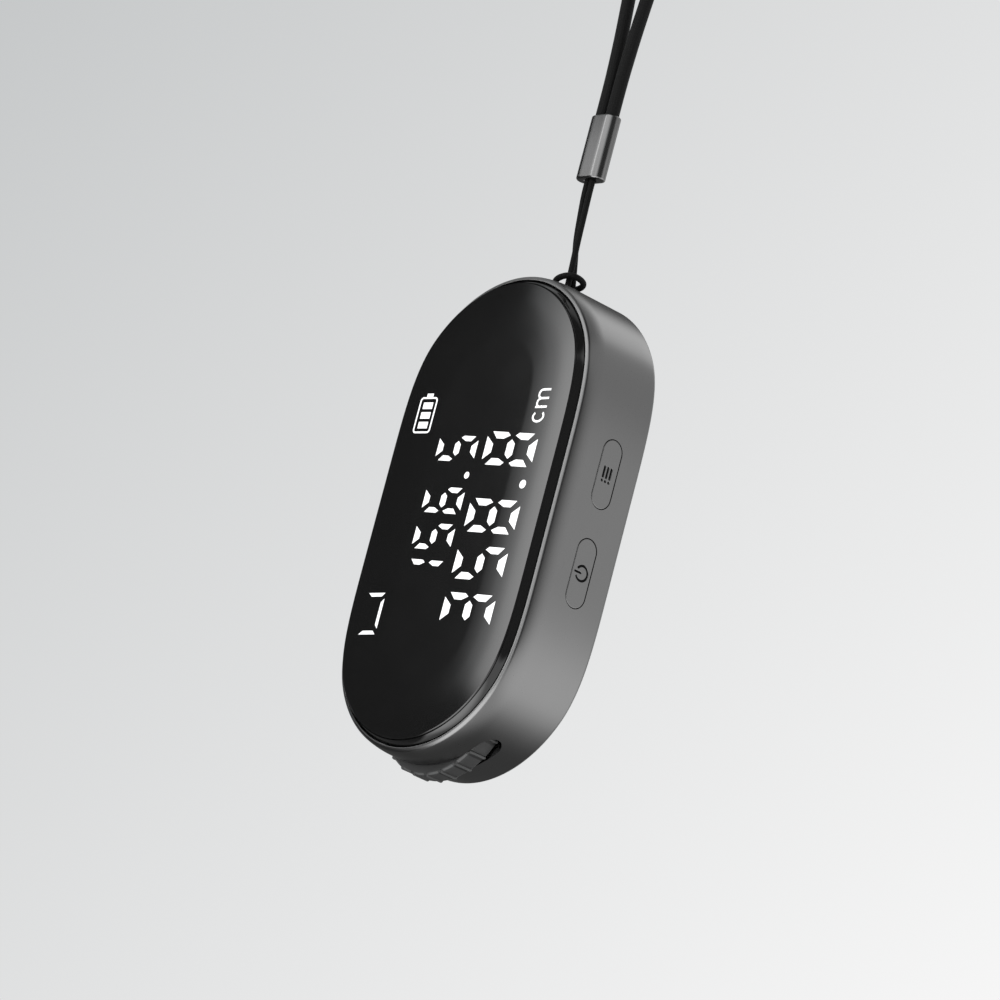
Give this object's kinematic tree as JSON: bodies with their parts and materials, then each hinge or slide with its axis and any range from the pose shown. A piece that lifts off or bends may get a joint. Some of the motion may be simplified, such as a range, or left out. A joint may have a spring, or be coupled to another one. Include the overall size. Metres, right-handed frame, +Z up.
{
  "type": "digital measuring ruler",
  "caption": "Pill-shaped pocket ruler with a domed lit display, two side buttons, a ribbed measuring wheel in its lower end and a wrist strap on a thin hitched cord.",
  "frame": {"origin": "inside the top of the strap's loop, where a hook or a finger holds it", "axes": "+Z up along the housing towards the strap, -Y out of the display, +X towards the side with the buttons"},
  "size_m": [0.043, 0.0163, 0.1725],
  "materials": {
    "housing_grey": "satin gunmetal paint with a fine metallic flake",
    "lens_black": "polished smoked black",
    "gasket_foam": "black adhesive foam",
    "button_grey": "satin gunmetal paint",
    "white_plastic": "moulded white plastic",
    "tread_rubber": "matt dark rubber",
    "hub_plastic": "moulded dark plastic",
    "bright_steel": "plain steel",
    "magnet_grey": "sintered magnet",
    "bush_bronze": "sintered bronze",
    "chassis_plastic": "moulded dark plastic",
    "board_green": "solder resist on laminate",
    "chip_black": "moulded black resin",
    "led_yellow": "clear yellow phosphor",
    "film_white": "white diffusing film",
    "battery_foil": "laminated foil pouch",
    "tape_tan": "double-sided tape",
    "cord_black": "thin braided cord",
    "ferrule_metal": "satin gunmetal plating",
    "strap_black": "round woven strap"
  },
  "bodies": {
    "housing": {"side_frame": "housing_grey", "back_cover": "housing_grey", "front_lens": "lens_black", "lens_gasket": "gasket_foam", "front_bush": "bush_bronze", "back_bush": "bush_bronze", "bearing_bridge": "bright_steel", "bridge_screws": "bright_steel", "chassis": "chassis_plastic", "chassis_screws": "bright_steel", "sensor_board": "board_green", "hall_sensor": "chip_black", "main_board": "board_green", "board_chips": "chip_black", "board_screws": "bright_steel", "led_chips": "led_yellow", "segment_reflector": "white_plastic", "diffuser_film": "film_white", "battery": "battery_foil", "battery_tape": "tape_tan", "button_board": "board_green", "switch_bodies": "chip_black", "charge_board": "board_green", "charge_socket": "bright_steel", "charge_tongue": "chip_black", "lanyard_pin": "bright_steel", "hitch_cord": "cord_black", "ferrule": "ferrule_metal", "strap_loop": "strap_black"},
    "wheel": {"wheel_tyre": "tread_rubber", "wheel_hub": "hub_plastic", "wheel_axle": "bright_steel", "encoder_magnet": "magnet_grey"},
    "menu_key": {"menu_button": "button_grey", "menu_plunger": "white_plastic"},
    "power_key": {"power_button": "button_grey", "power_plunger": "white_plastic"}
  },
  "joints": [
    {"name": "wheel_turn", "type": "hinge", "parent": "housing", "child": "wheel", "pos_m": [0, 0, -0.1566], "axis": [0, 1, 0], "continuous": true},
    {"name": "menu_press", "type": "slide", "parent": "housing", "child": "menu_key", "axis": [-1, 0, 0], "range_m": [0, 0.0003], "stiffness_N_per_m": 600},
    {"name": "power_press", "type": "slide", "parent": "housing", "child": "power_key", "axis": [-1, 0, 0], "range_m": [0, 0.0003], "stiffness_N_per_m": 600}
  ]
}
